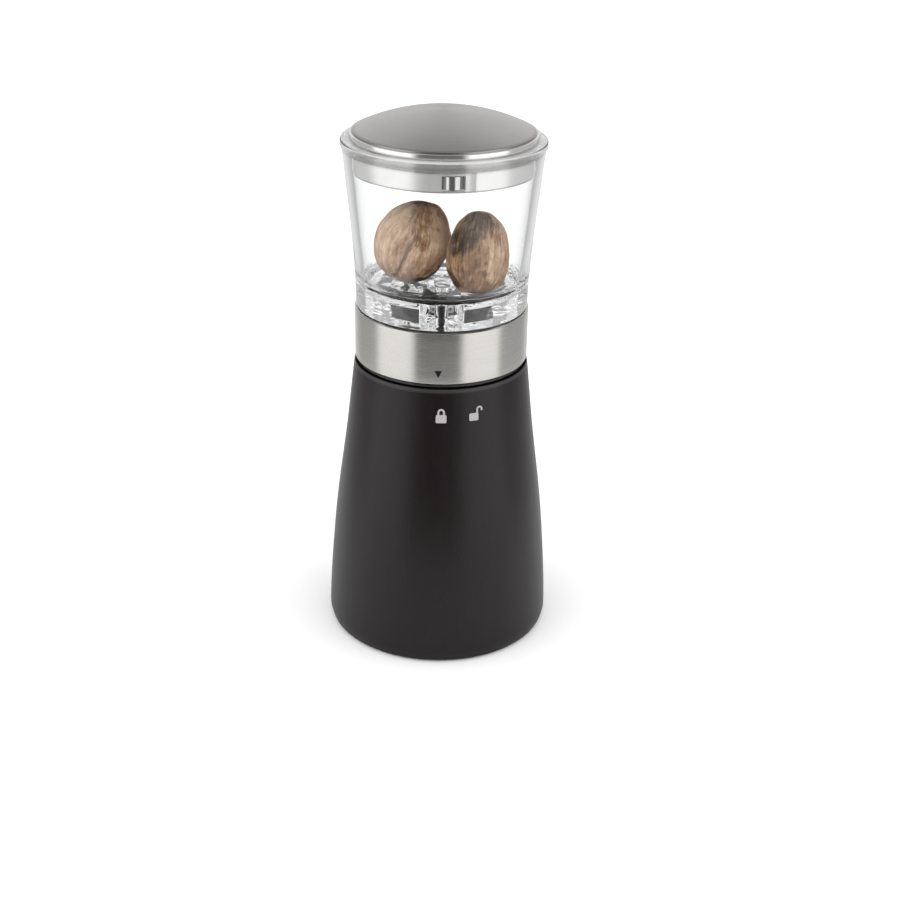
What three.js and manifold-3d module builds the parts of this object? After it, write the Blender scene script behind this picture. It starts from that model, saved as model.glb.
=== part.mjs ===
// Hand-turned nutmeg mill: a flared wooden base with a grating disc in its foot, a steel lock
// collar, a clear hopper that is turned by hand, and a domed steel lid.
// Units are millimetres, +Z is up, the origin is the centre of the foot on the table, and -Y is
// the front, where the padlock marks and the collar's triangle are.
import * as THREE from "three";
import { mergeVertices } from "three/addons/utils/BufferGeometryUtils.js";
import Module from "manifold-3d";

const wasm = await Module();
wasm.setup();

// ---------------------------------------------------------------- driving dimensions
const HEIGHT = 160.0; // foot to the top of the dome
const R_FOOT = 34.0; // widest radius of the wooden base
const BODY_TOP = 86.2; // top face of the wood
const R_CHAMBER = 17.4; // bore through the wood
const BASE_BORE_R = 23.2; // counterbore in the foot
const BASE_BORE_TOP = 13.0;
const SOCKET_BORE_R = 22.2; // counterbore for the bayonet socket
const SOCKET_BORE_BOTTOM = 66.0;
const BAND_R = 25.43; // steel collar band
const BAND_BOTTOM = 87.5;
const BAND_TOP = 102.75;
const HOPPER_BOTTOM = 103.3;
const FLOOR_Z = 109.6; // inside floor of the hopper
const WALL_R = 22.94; // inside radius of the hopper at the floor
const COVE = 5.2; // radius of the cove between floor and wall
const RIM_R = 29.25;
const RIM_TOP = 152.0;
const DOME_R = 26.65; // edge of the lid
const SHEET = 0.8; // steel sheet of the lid
const LUG_HALF_DEG = 8.0; // half the width of a bayonet lug
const UNLOCK_DEG = 22.0; // turn from the closed to the open padlock
const SHAFT_R = 3.3; // across the corners of the hexagon shaft
const STOP_Z = 47.6; // stop that the claw carrier rests on, on the shaft
const SPRING_R = 8.5; // mean radius of the pressure spring
const WIRE_R = 0.55;
const SPRING_TURNS = 8;
const BASE_SCREW_R = 20.2; // circle of the foot screws
const SOCKET_SCREW_R = 19.6; // circle of the socket screws
const HUB_SCREW_R = 11.2; // circle of the screws that hold the hub to the hopper
const HUB_SCREW_AT = [0, 120, 240];
const SPOKE_HALF = 5.4; // half the width of the spokes between the pockets under the floor
const RIVET_R = 11.4; // circle of the claw plate's rivets

const SEG = 40; // sides of the large turned pieces
const MID = 26;
const SMALL = 10;

// ---------------------------------------------------------------- helpers
const rad = THREE.MathUtils.degToRad;

// A closed solid from a geometry: seams merged, collapsed triangles dropped, faces outwards.
function solid(geometry) {
  const g = geometry.index ? geometry.toNonIndexed() : geometry.clone();
  const bare = new THREE.BufferGeometry().setAttribute(
    "position",
    g.getAttribute("position"),
  );
  const m = mergeVertices(bare, 1e-3);
  const idx = m.index.array,
    tri = [];
  for (let i = 0; i < idx.length; i += 3) {
    const [a, b, c] = [idx[i], idx[i + 1], idx[i + 2]];
    if (a !== b && b !== c && a !== c) tri.push(a, b, c);
  }
  const make = (t) =>
    new wasm.Manifold(
      new wasm.Mesh({
        numProp: 3,
        vertProperties: new Float32Array(m.attributes.position.array),
        triVerts: new Uint32Array(t),
      }),
    );
  const made = make(tri);
  if (made.volume() >= 0) return made;
  for (let i = 0; i < tri.length; i += 3)
    [tri[i + 1], tri[i + 2]] = [tri[i + 2], tri[i + 1]];
  return make(tri);
}

function geometryOf(s) {
  const m = s.getMesh(),
    n = m.numProp,
    v = new Float32Array(m.numVert * 3);
  for (let i = 0; i < m.numVert; i++)
    v.set(m.vertProperties.subarray(i * n, i * n + 3), i * 3);
  const g = new THREE.BufferGeometry()
    .setAttribute("position", new THREE.BufferAttribute(v, 3))
    .setIndex(new THREE.BufferAttribute(new Uint32Array(m.triVerts), 1));
  g.computeVertexNormals();
  return g;
}

// A turned solid about +Z. The profile is a list of [radius, z]; off the axis it closes on itself.
function turned(profile, segments = SEG) {
  const p = profile.map(([r, z]) => new THREE.Vector2(r, z));
  const onAxis = profile[0][0] === 0 && profile[profile.length - 1][0] === 0;
  if (!onAxis) p.push(p[0].clone());
  return solid(new THREE.LatheGeometry(p, segments).rotateX(Math.PI / 2));
}

// A plain upright cylinder or cone frustum between two heights.
function rod(r, z0, z1, segments = SMALL, x = 0, y = 0, rTop = r) {
  return solid(
    new THREE.CylinderGeometry(rTop, r, z1 - z0, segments)
      .rotateX(Math.PI / 2)
      .translate(x, y, (z0 + z1) / 2),
  );
}

function box(x0, x1, y0, y1, z0, z1) {
  return solid(
    new THREE.BoxGeometry(x1 - x0, y1 - y0, z1 - z0).translate(
      (x0 + x1) / 2,
      (y0 + y1) / 2,
      (z0 + z1) / 2,
    ),
  );
}

// Place measured from the front (-Y) towards +X, in degrees.
const at = (r, deg) => [r * Math.sin(rad(deg)), -r * Math.cos(rad(deg))];

// A solid built at the front is turned to a place round the axis.
function around(s, deg) {
  return s.rotate([0, 0, deg]);
}

// A sector of a ring, centred on the front.
function sector(r0, r1, z0, z1, halfDeg) {
  const shape = new THREE.Shape();
  const n = 6;
  for (let i = 0; i <= n; i++) {
    const a = rad(-90 - halfDeg + (2 * halfDeg * i) / n);
    const [x, y] = [r1 * Math.cos(a), r1 * Math.sin(a)];
    i ? shape.lineTo(x, y) : shape.moveTo(x, y);
  }
  for (let i = n; i >= 0; i--) {
    const a = rad(-90 - halfDeg + (2 * halfDeg * i) / n);
    shape.lineTo(r0 * Math.cos(a), r0 * Math.sin(a));
  }
  return solid(
    new THREE.ExtrudeGeometry(shape, {
      depth: z1 - z0,
      bevelEnabled: false,
    }).translate(0, 0, z0),
  );
}

const MATERIALS = {
  wood: new THREE.MeshStandardMaterial({
    color: 0x2c2a2a,
    roughness: 0.5,
    metalness: 0,
  }),
  black: new THREE.MeshStandardMaterial({
    color: 0x141416,
    roughness: 0.45,
    metalness: 0,
  }),
  band: new THREE.MeshStandardMaterial({
    color: 0xc9c5bf,
    roughness: 0.3,
    metalness: 1,
  }),
  lidSteel: new THREE.MeshStandardMaterial({
    color: 0xbdb9b5,
    roughness: 0.35,
    metalness: 1,
  }),
  steel: new THREE.MeshStandardMaterial({
    color: 0xc4c6c8,
    roughness: 0.25,
    metalness: 1,
  }),
  clear: new THREE.MeshStandardMaterial({
    color: 0xf4f6f7,
    roughness: 0.03,
    metalness: 0,
    transparent: true,
    opacity: 0.3,
  }),
  white: new THREE.MeshStandardMaterial({
    color: 0xe8e8e4,
    roughness: 0.5,
    metalness: 0,
  }),
  nutmeg: new THREE.MeshStandardMaterial({
    color: 0x8f6b4c,
    roughness: 0.75,
    metalness: 0,
  }),
};

const root = new THREE.Group();
function add(group, name, s, material) {
  const mesh = new THREE.Mesh(geometryOf(s), MATERIALS[material]);
  mesh.name = name;
  group.add(mesh);
  return mesh;
}

// A pan-head screw, head down or up, with a cross recess.
function screw({ x, y, headR, head, shankR, shank, up }) {
  const [h0, h1] = head,
    [s0, s1] = shank;
  let s = rod(headR, h0, h1, SMALL, x, y).add(rod(shankR, s0, s1, 8, x, y));
  const face = up ? h1 : h0,
    deep = Math.min(0.9, (h1 - h0) * 0.55);
  const [c0, c1] = up ? [face - deep, face + 0.5] : [face - 0.5, face + deep];
  const w = headR * 0.6,
    t = headR * 0.16;
  s = s
    .subtract(box(x - w, x + w, y - t, y + t, c0, c1))
    .subtract(box(x - t, x + t, y - w, y + w, c0, c1));
  return s;
}

// ================================================================ fixed base
const base = new THREE.Group();
root.add(base);

// Wooden base: turned outside, bored for the nutmeg, counterbored at both ends.
{
  let s = turned([
    [23.9, 0],
    [31.0, 0],
    [32.5, 0.45],
    [33.55, 1.45],
    [R_FOOT, 3.1],
    [33.85, 8],
    [33.4, 16],
    [32.7, 25],
    [31.85, 35],
    [30.7, 45],
    [29.3, 55],
    [28.0, 65],
    [26.9, 75],
    [25.95, 83.5],
    [25.7, 85.7],
    [25.2, BODY_TOP],
    [SOCKET_BORE_R, BODY_TOP],
    [SOCKET_BORE_R, SOCKET_BORE_BOTTOM],
    [R_CHAMBER, SOCKET_BORE_BOTTOM],
    [R_CHAMBER, BASE_BORE_TOP],
    [BASE_BORE_R, BASE_BORE_TOP],
    [BASE_BORE_R, 0.7],
  ]);
  for (const deg of [0, 120, 240]) {
    const [x, y] = at(BASE_SCREW_R, deg);
    s = s.subtract(rod(1.5, 12, 21.5, 8, x, y));
    const [u, v] = at(SOCKET_SCREW_R, deg + 60);
    s = s.subtract(rod(1.2, 57.5, 67, 8, u, v));
  }
  add(base, "wood_body", s, "wood");
}

// Foot ring: holds the grating disc, with a throat that the powder falls through.
{
  let s = turned(
    [
      [16.6, 1.2],
      [22.5, 1.2],
      [22.9, 1.6],
      [22.9, 12.7],
      [17.7, 12.7],
      [17.7, 9.0],
      [14.6, 9.0],
      [14.6, 3.6],
    ],
    MID,
  );
  for (const deg of [0, 120, 240]) {
    const [x, y] = at(BASE_SCREW_R, deg);
    s = s
      .subtract(rod(1.5, 0, 14, SMALL, x, y))
      .subtract(rod(2.45, 0, 3.9, SMALL, x, y));
  }
  add(base, "foot_ring", s, "black");
  [0, 120, 240].forEach((deg, i) => {
    const [x, y] = at(BASE_SCREW_R, deg);
    add(
      base,
      "foot_screw_" + (i + 1),
      screw({
        x,
        y,
        headR: 2.15,
        head: [1.7, 3.6],
        shankR: 1.2,
        shank: [3.0, 21.0],
        up: false,
      }),
      "steel",
    );
  });
}

// Grating disc: stainless plate with six radial slots, each with a raised cutting lip.
{
  let s = turned(
    [
      [0, 9.3],
      [17.4, 9.3],
      [17.4, 10.1],
      [0, 10.1],
    ],
    MID,
  );
  const lip = (() => {
    const sh = new THREE.Shape();
    sh.moveTo(-2.4, 10.0);
    sh.lineTo(-0.75, 10.0);
    sh.lineTo(-0.15, 11.0);
    sh.lineTo(-0.35, 11.15);
    sh.closePath();
    // drawn in (tangent, z), run along the radius towards the front
    return solid(
      new THREE.ExtrudeGeometry(sh, {
        depth: 9.0,
        bevelEnabled: false,
      })
        .rotateX(Math.PI / 2)
        .translate(0, -4.2, 0),
    );
  })();
  for (let i = 0; i < 6; i++) {
    s = s.subtract(around(box(-0.75, 0.75, -13.2, -4.2, 9, 11), i * 60));
    s = s.add(around(lip, i * 60));
  }
  for (let i = 0; i < 6; i++) {
    const [x, y] = at(9.6, i * 60 + 30);
    s = s.subtract(rod(0.9, 9, 11, 8, x, y));
  }
  add(base, "grating_disc", s, "steel");
}

add(
  base,
  "chamber_liner",
  turned(
    [
      [15.8, 10.4],
      [17.1, 10.4],
      [17.1, 65.7],
      [15.8, 65.7],
    ],
    MID,
  ),
  "black",
);

// Bayonet socket: a ledge with three gaps that the collar's lugs pass through.
{
  let s = turned([
    [16.9, 66.3],
    [21.9, 66.3],
    [21.9, 86.5],
    [24.9, 86.5],
    [24.9, 87.15],
    [19.3, 87.15],
    [19.3, 80.4],
    [21.3, 80.4],
    [21.3, 69.0],
    [16.9, 69.0],
  ]);
  for (const deg of [0, 120, 240]) {
    s = s.subtract(
      around(
        sector(18.5, 21.3, 79.9, 88, LUG_HALF_DEG + 2.2),
        deg + UNLOCK_DEG,
      ),
    );
    s = s.add(around(sector(20.0, 21.6, 68.8, 81, 1.2), deg - 10.8));
    s = s.add(
      around(sector(20.0, 21.6, 68.8, 80.2, 1.2), deg + UNLOCK_DEG + 10.8),
    );
    const [x, y] = at(SOCKET_SCREW_R, deg + 60);
    s = s.subtract(rod(1.2, 66, 69.5, 8, x, y));
  }
  add(base, "bayonet_socket", s, "black");
  [60, 180, 300].forEach((deg, i) => {
    const [x, y] = at(SOCKET_SCREW_R, deg);
    add(
      base,
      "socket_screw_" + (i + 1),
      screw({
        x,
        y,
        headR: 1.5,
        head: [69.3, 70.7],
        shankR: 0.85,
        shank: [58.0, 69.8],
        up: true,
      }),
      "steel",
    );
  });
}

// ================================================================ lock collar
const collar = new THREE.Group();
root.add(collar);

add(
  collar,
  "collar_band",
  turned([
    [24.75, BAND_BOTTOM],
    [25.2, BAND_BOTTOM],
    [BAND_R, BAND_BOTTOM + 0.25],
    [BAND_R, BAND_TOP - 0.25],
    [25.2, BAND_TOP],
    [24.75, BAND_TOP],
  ]),
  "band",
);

{
  let s = turned([
    [17.5, 77.0],
    [18.95, 77.0],
    [18.95, 87.5],
    [24.45, 87.5],
    [24.45, 102.4],
    [20.5, 102.4],
    [20.5, 96.6],
    [16.1, 96.6],
    [16.1, 88.6],
    [17.5, 88.6],
  ]);
  for (const deg of [0, 120, 240])
    s = s.add(around(sector(18.2, 20.9, 77.3, 79.95, LUG_HALF_DEG), deg));
  add(collar, "collar_core", s, "black");
}

add(
  collar,
  "thrust_washer",
  turned(
    [
      [16.5, 96.9],
      [20.1, 96.9],
      [20.1, 97.7],
      [16.5, 97.7],
    ],
    MID,
  ),
  "white",
);

// ================================================================ hopper, turned by hand
const hopper = new THREE.Group();
root.add(hopper);

{
  const cove = [];
  for (let i = 0; i <= 5; i++) {
    const a = (i * Math.PI) / 10;
    cove.push([
      WALL_R - COVE + COVE * Math.sin(a),
      FLOOR_Z + COVE - COVE * Math.cos(a),
    ]);
  }
  let s = turned([
    [0, FLOOR_Z],
    ...cove,
    [23.45, 120],
    [24.3, 130],
    [25.0, 138],
    [25.4, 144],
    [25.5, 149.5],
    [25.5, 151.8],
    [25.7, RIM_TOP],
    [28.8, RIM_TOP],
    [RIM_R, 151.6],
    [RIM_R, 150.1],
    [28.72, 149.6],
    [28.35, 146],
    [27.6, 138],
    [26.75, 130],
    [25.85, 120],
    [25.25, 110],
    [25.08, 103.7],
    [24.7, HOPPER_BOTTOM],
    [4.2, HOPPER_BOTTOM],
    [4.2, 108.4],
    [0, 108.4],
  ]);
  // three pockets under the floor, with spokes between them
  let pockets = turned(
    [
      [6.2, 102],
      [15.0, 102],
      [15.0, 107.3],
      [6.2, 107.3],
    ],
    36,
  );
  for (const deg of HUB_SCREW_AT)
    pockets = pockets.subtract(
      around(box(-SPOKE_HALF, SPOKE_HALF, -17, 0, 101, 109), deg),
    );
  s = s.subtract(pockets);
  for (const deg of HUB_SCREW_AT) {
    const [x, y] = at(HUB_SCREW_R, deg);
    s = s.subtract(rod(1.5, 102, 108.3, 10, x, y));
  }
  add(hopper, "hopper", s, "clear");
}

// Drive hub: hangs the shaft from the hopper and turns in the collar.
{
  let s = turned(
    [
      [3.65, 78.0],
      [7.0, 78.0],
      [7.0, 98.0],
      [13.6, 98.0],
      [13.6, 84.0],
      [15.7, 84.0],
      [15.7, 86.7],
      [14.6, 86.7],
      [14.6, 88.5],
      [15.7, 88.5],
      [15.7, 98.0],
      [20.1, 98.0],
      [20.1, 102.7],
      [2.0, 102.7],
      [2.0, 100.6],
      [3.65, 100.6],
    ],
    MID,
  );
  for (const deg of HUB_SCREW_AT) {
    const [x, y] = at(HUB_SCREW_R, deg);
    s = s.subtract(rod(1.5, 97, 104, 10, x, y));
  }
  s = s.subtract(
    solid(
      new THREE.CylinderGeometry(1.3, 1.3, 16, 8)
        .rotateZ(Math.PI / 2)
        .translate(0, 0, 90),
    ),
  );
  add(hopper, "drive_hub", s, "black");
  HUB_SCREW_AT.forEach((deg, i) => {
    const [x, y] = at(HUB_SCREW_R, deg);
    add(
      hopper,
      "hub_screw_" + (i + 1),
      screw({
        x,
        y,
        headR: 1.8,
        head: [96.0, 97.7],
        shankR: 1.2,
        shank: [97.2, 107.9],
        up: false,
      }),
      "steel",
    );
  });
}

// Hexagon shaft with a threaded top end, a cross hole and a tapped lower end.
{
  let s = rod(SHAFT_R, STOP_Z + 0.3, 100.3, 6).add(
    rod(1.6, 100, 106.2, SMALL),
  );
  s = s.subtract(rod(1.5, STOP_Z, STOP_Z + 7.5, 8));
  s = s.subtract(
    solid(
      new THREE.CylinderGeometry(1.3, 1.3, 10, 8)
        .rotateZ(Math.PI / 2)
        .translate(0, 0, 90),
    ),
  );
  add(hopper, "drive_shaft", s, "steel");
  add(
    hopper,
    "shaft_pin",
    solid(
      new THREE.CylinderGeometry(1.0, 1.0, 13.4, 8)
        .rotateZ(Math.PI / 2)
        .translate(0, 0, 90),
    ),
    "steel",
  );
  add(
    hopper,
    "hub_nut",
    rod(3.5, 103.0, 105.4, 6).subtract(rod(1.9, 102, 106, SMALL)),
    "steel",
  );
  add(
    hopper,
    "stop_washer",
    rod(4.3, STOP_Z - 0.9, STOP_Z, 16).subtract(
      rod(1.5, STOP_Z - 2, STOP_Z + 1, 8),
    ),
    "steel",
  );
  add(
    hopper,
    "stop_screw",
    screw({
      x: 0,
      y: 0,
      headR: 2.6,
      head: [STOP_Z - 2.9, STOP_Z - 1.2],
      shankR: 1.2,
      shank: [STOP_Z - 1.6, STOP_Z + 7],
      up: false,
    }),
    "steel",
  );
}

// Open clip in the hub's groove, which keeps the hopper in the collar.
add(
  hopper,
  "retaining_clip",
  turned(
    [
      [14.9, 87.0],
      [17.1, 87.0],
      [17.1, 88.2],
      [14.9, 88.2],
    ],
    MID,
  ).subtract(sector(13, 18.5, 86, 89, 12)),
  "steel",
);

// Nutmegs in store: egg shapes, [centre], [half axes], lean in degrees about X, Y and Z.
function egg(centre, half, turn) {
  const g = new THREE.SphereGeometry(1, 16, 12).rotateX(Math.PI / 2);
  const p = g.attributes.position;
  for (let i = 0; i < p.count; i++) {
    const k = 1 - 0.07 * p.getZ(i);
    p.setXYZ(i, p.getX(i) * k * half[0], p.getY(i) * k * half[1], p.getZ(i) * half[2]);
  }
  return solid(
    g
      .rotateX(rad(turn[0]))
      .rotateY(rad(turn[1]))
      .rotateZ(rad(turn[2]))
      .translate(...centre),
  );
}
add(
  hopper,
  "nutmeg_left",
  egg([-8.3, -0.9, 122.2], [11.2, 11.2, 12.0], [0, 6, 0]),
  "nutmeg",
);
add(
  hopper,
  "nutmeg_right",
  egg([9.8, -10.0, 121.9], [8.8, 8.7, 12.2], [-22, 5, 0]),
  "nutmeg",
);

// Pressure spring between the claw carrier and the hub.
{
  const z0 = 20.6 + WIRE_R + 0.3,
    z1 = 97.7 - WIRE_R;
  class Helix extends THREE.Curve {
    getPoint(t, target = new THREE.Vector3()) {
      const a = t * SPRING_TURNS * 2 * Math.PI;
      return target.set(
        SPRING_R * Math.cos(a),
        SPRING_R * Math.sin(a),
        z0 + (z1 - z0) * t,
      );
    }
  }
  const section = new THREE.Shape();
  for (let i = 0; i < 6; i++) {
    const a = (i * Math.PI) / 3;
    const [x, y] = [WIRE_R * Math.cos(a), WIRE_R * Math.sin(a)];
    i ? section.lineTo(x, y) : section.moveTo(x, y);
  }
  section.closePath();
  add(
    hopper,
    "pressure_spring",
    solid(
      new THREE.ExtrudeGeometry(section, {
        steps: SPRING_TURNS * 10,
        extrudePath: new Helix(),
        bevelEnabled: false,
      }),
    ),
    "steel",
  );
}

// ================================================================ presser, slides on the shaft
const presser = new THREE.Group();
root.add(presser);

{
  let s = turned(
    [
      [0, 18.0],
      [13.8, 18.0],
      [13.8, 20.6],
      [6.4, 20.6],
      [6.4, STOP_Z + 0.1],
      [4.7, STOP_Z + 0.1],
      [4.7, 19.1],
      [0, 19.1],
    ],
    MID,
  );
  for (const deg of [0, 120, 240]) {
    const [x, y] = at(RIVET_R, deg);
    s = s.subtract(rod(1.2, 17, 21, 8, x, y));
  }
  add(presser, "claw_carrier", s, "black");
  add(
    presser,
    "sleeve_cap",
    rod(6.4, STOP_Z + 0.4, STOP_Z + 4.4, MID).subtract(
      rod(SHAFT_R + 0.35, STOP_Z, STOP_Z + 5, 6),
    ),
    "white",
  );
}

{
  let s = rod(13.4, 16.6, 17.7, MID);
  for (const deg of [0, 120, 240]) {
    const [x, y] = at(RIVET_R, deg);
    s = s.subtract(rod(1.2, 16, 18, 8, x, y));
    const [u, v] = at(7.2, deg + 60);
    s = s.add(rod(0.15, 12.4, 16.8, 8, u, v, 1.1));
    const [p, q] = at(3.4, deg);
    s = s.add(rod(0.15, 13.0, 16.8, 8, p, q, 1.0));
  }
  add(presser, "claw_plate", s, "steel");
  [0, 120, 240].forEach((deg, i) => {
    const [x, y] = at(RIVET_R, deg);
    add(
      presser,
      "claw_rivet_" + (i + 1),
      rod(1.8, 15.7, 16.3, SMALL, x, y)
        .add(rod(0.9, 16.0, 21.2, 8, x, y))
        .add(rod(1.8, 20.9, 21.5, SMALL, x, y)),
      "steel",
    );
  });
}

// ================================================================ lid, lifts off the hopper
const lid = new THREE.Group();
root.add(lid);

const ROLL_R = 25.7; // where the dome ends and its stepped edge begins
const ROLL_Z = 154.2;
const DOME_H = HEIGHT - ROLL_Z;
const DOME_RS = (ROLL_R ** 2 + DOME_H ** 2) / (2 * DOME_H);
const domeZ = (r, down = 0) =>
  HEIGHT - DOME_RS + Math.sqrt((DOME_RS - down) ** 2 - r ** 2);
{
  const profile = [[0, HEIGHT]];
  for (const r of [6, 12, 17, 21, 24]) profile.push([r, domeZ(r)]);
  profile.push([ROLL_R, ROLL_Z]);
  profile.push([25.85, 153.9]);
  profile.push([26.4, 153.9]);
  profile.push([DOME_R, 153.65]);
  profile.push([DOME_R, 152.3]);
  profile.push([25.9, 152.3]);
  profile.push([25.2, 153.1]);
  for (const r of [23.5, 19, 13, 7]) profile.push([r, domeZ(r, SHEET)]);
  profile.push([0, HEIGHT - SHEET]);
  add(lid, "lid_cap", turned(profile), "lidSteel");
}

// Inner cup of the lid: a disc and a skirt, with a pressed flat and a window for each catch.
const CATCH_AT = [6, 126, 246];
{
  let s = turned([
    [2.3, 151.6],
    [24.4, 151.6],
    [24.4, 143.9],
    [24.3, 143.3],
    [25.1, 143.3],
    [25.1, 152.2],
    [2.3, 152.2],
  ]);
  for (const deg of CATCH_AT)
    s = s.add(around(box(-5.9, 5.9, -24.7, -23.75, 143.6, 148.9), deg));
  for (const deg of CATCH_AT)
    s = s
      .subtract(around(box(-6.5, 6.5, -26, -24.5, 142.9, 148.7), deg))
      .subtract(around(box(-3.1, 3.1, -26, -22, 143.9, 148.1), deg));
  add(lid, "lid_skirt", s, "steel");
}

// Sprung catches: an upright roller on a strip behind each window.
CATCH_AT.forEach((deg, i) => {
  const s = rod(2.8, 144.2, 147.8, 24, 0, -22.3).add(
    box(-4.4, 4.4, -23.4, -22.8, 143.9, 148.1),
  );
  add(lid, "lid_catch_" + (i + 1), around(s, deg), "steel");
});

add(lid, "lid_stud", rod(3.2, 157.6, 158.6, 16).add(rod(1.9, 149.0, 158.2, SMALL)), "steel");
add(
  lid,
  "lid_nut",
  rod(3.9, 149.3, 151.3, 6).subtract(rod(2.2, 149, 152, SMALL)),
  "steel",
);

export default root;
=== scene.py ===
"""Looks of the hand-turned nutmeg mill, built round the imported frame.

Lengths in the tables below are millimetres; everything that reaches Blender is in metres.
+Z is up, -Y is the front, where the padlock marks and the arrow are.
"""

import math

import bmesh
import bpy
from mathutils import Matrix, Vector, noise


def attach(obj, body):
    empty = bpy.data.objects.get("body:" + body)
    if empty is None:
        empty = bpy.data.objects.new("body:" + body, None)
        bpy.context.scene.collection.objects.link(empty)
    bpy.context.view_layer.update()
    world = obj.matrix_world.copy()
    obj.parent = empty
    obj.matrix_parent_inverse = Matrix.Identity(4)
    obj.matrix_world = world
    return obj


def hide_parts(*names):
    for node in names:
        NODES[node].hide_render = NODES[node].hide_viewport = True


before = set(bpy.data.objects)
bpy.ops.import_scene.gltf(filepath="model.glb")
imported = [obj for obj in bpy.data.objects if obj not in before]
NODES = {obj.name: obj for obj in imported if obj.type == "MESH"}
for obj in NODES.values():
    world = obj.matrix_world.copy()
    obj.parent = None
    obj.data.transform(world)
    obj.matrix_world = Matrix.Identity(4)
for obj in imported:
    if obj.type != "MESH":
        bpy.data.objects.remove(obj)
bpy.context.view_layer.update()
MM = 0.001
scene = bpy.context.scene


# ------------------------------------------------------------------ mesh helpers
def curve_through(points, step=1.0):
    """Points on a smooth curve through [r, z] points (centripetal Catmull-Rom), about step mm apart."""
    pts = [Vector(p) for p in points]
    ext = [pts[0] * 2 - pts[1]] + pts + [pts[-1] * 2 - pts[-2]]
    out = [pts[0].copy()]
    for i in range(1, len(ext) - 2):
        p0, p1, p2, p3 = ext[i - 1 : i + 3]
        t = [0.0]
        for a, b in ((p0, p1), (p1, p2), (p2, p3)):
            t.append(t[-1] + max((b - a).length, 1e-6) ** 0.5)
        n = max(2, round((p2 - p1).length / step))
        for k in range(1, n + 1):
            u = t[1] + (t[2] - t[1]) * k / n
            a1 = p0 * ((t[1] - u) / (t[1] - t[0])) + p1 * ((u - t[0]) / (t[1] - t[0]))
            a2 = p1 * ((t[2] - u) / (t[2] - t[1])) + p2 * ((u - t[1]) / (t[2] - t[1]))
            a3 = p2 * ((t[3] - u) / (t[3] - t[2])) + p3 * ((u - t[2]) / (t[3] - t[2]))
            b1 = a1 * ((t[2] - u) / (t[2] - t[0])) + a2 * ((u - t[0]) / (t[2] - t[0]))
            b2 = a2 * ((t[3] - u) / (t[3] - t[1])) + a3 * ((u - t[1]) / (t[3] - t[1]))
            out.append(b1 * ((t[2] - u) / (t[2] - t[1])) + b2 * ((u - t[1]) / (t[2] - t[1])))
    return [(p.x, p.y) for p in out]


def rounded(corners, closed=True, n=5):
    """A profile whose corners are rounded. Each corner is (r, z) or (r, z, radius)."""
    out = []
    count = len(corners)
    for i, c in enumerate(corners):
        p = Vector(c[:2])
        radius = c[2] if len(c) > 2 else 0
        if not radius or (not closed and i in (0, count - 1)):
            out.append((p.x, p.y))
            continue
        a = Vector(corners[i - 1][:2]) - p
        b = Vector(corners[(i + 1) % count][:2]) - p
        la, lb = a.length, b.length
        a, b = a / la, b / lb
        angle = a.angle(b)
        back = min(radius / math.tan(angle / 2), la * 0.49, lb * 0.49)
        radius = back * math.tan(angle / 2)
        centre = p + (a + b).normalized() * (radius / math.sin(angle / 2))
        s, e = p + a * back - centre, p + b * back - centre
        sweep = math.atan2(s.x * e.y - s.y * e.x, s.dot(e))
        for k in range(n + 1):
            t = sweep * k / n
            out.append(
                (
                    centre.x + s.x * math.cos(t) - s.y * math.sin(t),
                    centre.y + s.x * math.sin(t) + s.y * math.cos(t),
                )
            )
    return out


def finish_mesh(bm, name, sharp_deg=32):
    """bm becomes an object: smooth faces, with the edges sharper than sharp_deg kept sharp."""
    bmesh.ops.recalc_face_normals(bm, faces=bm.faces)
    limit = math.radians(sharp_deg)
    for f in bm.faces:
        f.smooth = True
    for e in bm.edges:
        e.smooth = len(e.link_faces) != 2 or e.calc_face_angle(0) < limit
    mesh = bpy.data.meshes.new(name)
    bm.to_mesh(mesh)
    bm.free()
    obj = bpy.data.objects.new(name, mesh)
    scene.collection.objects.link(obj)
    return obj


def lathe_bm(profile, segments=192, wobble=None):
    """Closed turned surface about Z. profile is [(r, z)] in mm; off the axis it closes on itself.
    wobble(r, z, angle) may give a new radius."""
    bm = bmesh.new()
    rings = []
    for r, z in profile:
        if r < 1e-6:
            rings.append([bm.verts.new((0, 0, z * MM))])
            continue
        ring = []
        for k in range(segments):
            a = 2 * math.pi * k / segments
            q = wobble(r, z, a) if wobble else r
            ring.append(bm.verts.new((q * MM * math.sin(a), -q * MM * math.cos(a), z * MM)))
        rings.append(ring)
    on_axis = len(rings[0]) == 1 and len(rings[-1]) == 1
    pairs = list(zip(rings, rings[1:])) + ([] if on_axis else [(rings[-1], rings[0])])
    for a, b in pairs:
        if len(a) == 1 and len(b) == 1:
            continue
        for k in range(segments):
            m = (k + 1) % segments
            if len(a) == 1:
                bm.faces.new((a[0], b[k], b[m]))
            elif len(b) == 1:
                bm.faces.new((a[k], a[m], b[0]))
            else:
                bm.faces.new((a[k], a[m], b[m], b[k]))
    return bm


def lathe(name, profile, segments=192, sharp_deg=32, wobble=None):
    return finish_mesh(lathe_bm(profile, segments, wobble), name, sharp_deg)


def cylinder_bm(bm, r, z0, z1, x=0.0, y=0.0, segments=40, r_top=None, turn=0.0):
    """A plain closed cylinder added to bm, all in mm."""
    r_top = r if r_top is None else r_top
    low, high = [], []
    for k in range(segments):
        a = 2 * math.pi * k / segments + turn
        c, s = math.cos(a), math.sin(a)
        low.append(bm.verts.new(((x + r * c) * MM, (y + r * s) * MM, z0 * MM)))
        high.append(bm.verts.new(((x + r_top * c) * MM, (y + r_top * s) * MM, z1 * MM)))
    for k in range(segments):
        m = (k + 1) % segments
        bm.faces.new((low[k], low[m], high[m], high[k]))
    bm.faces.new(low[::-1])
    bm.faces.new(high)


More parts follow.
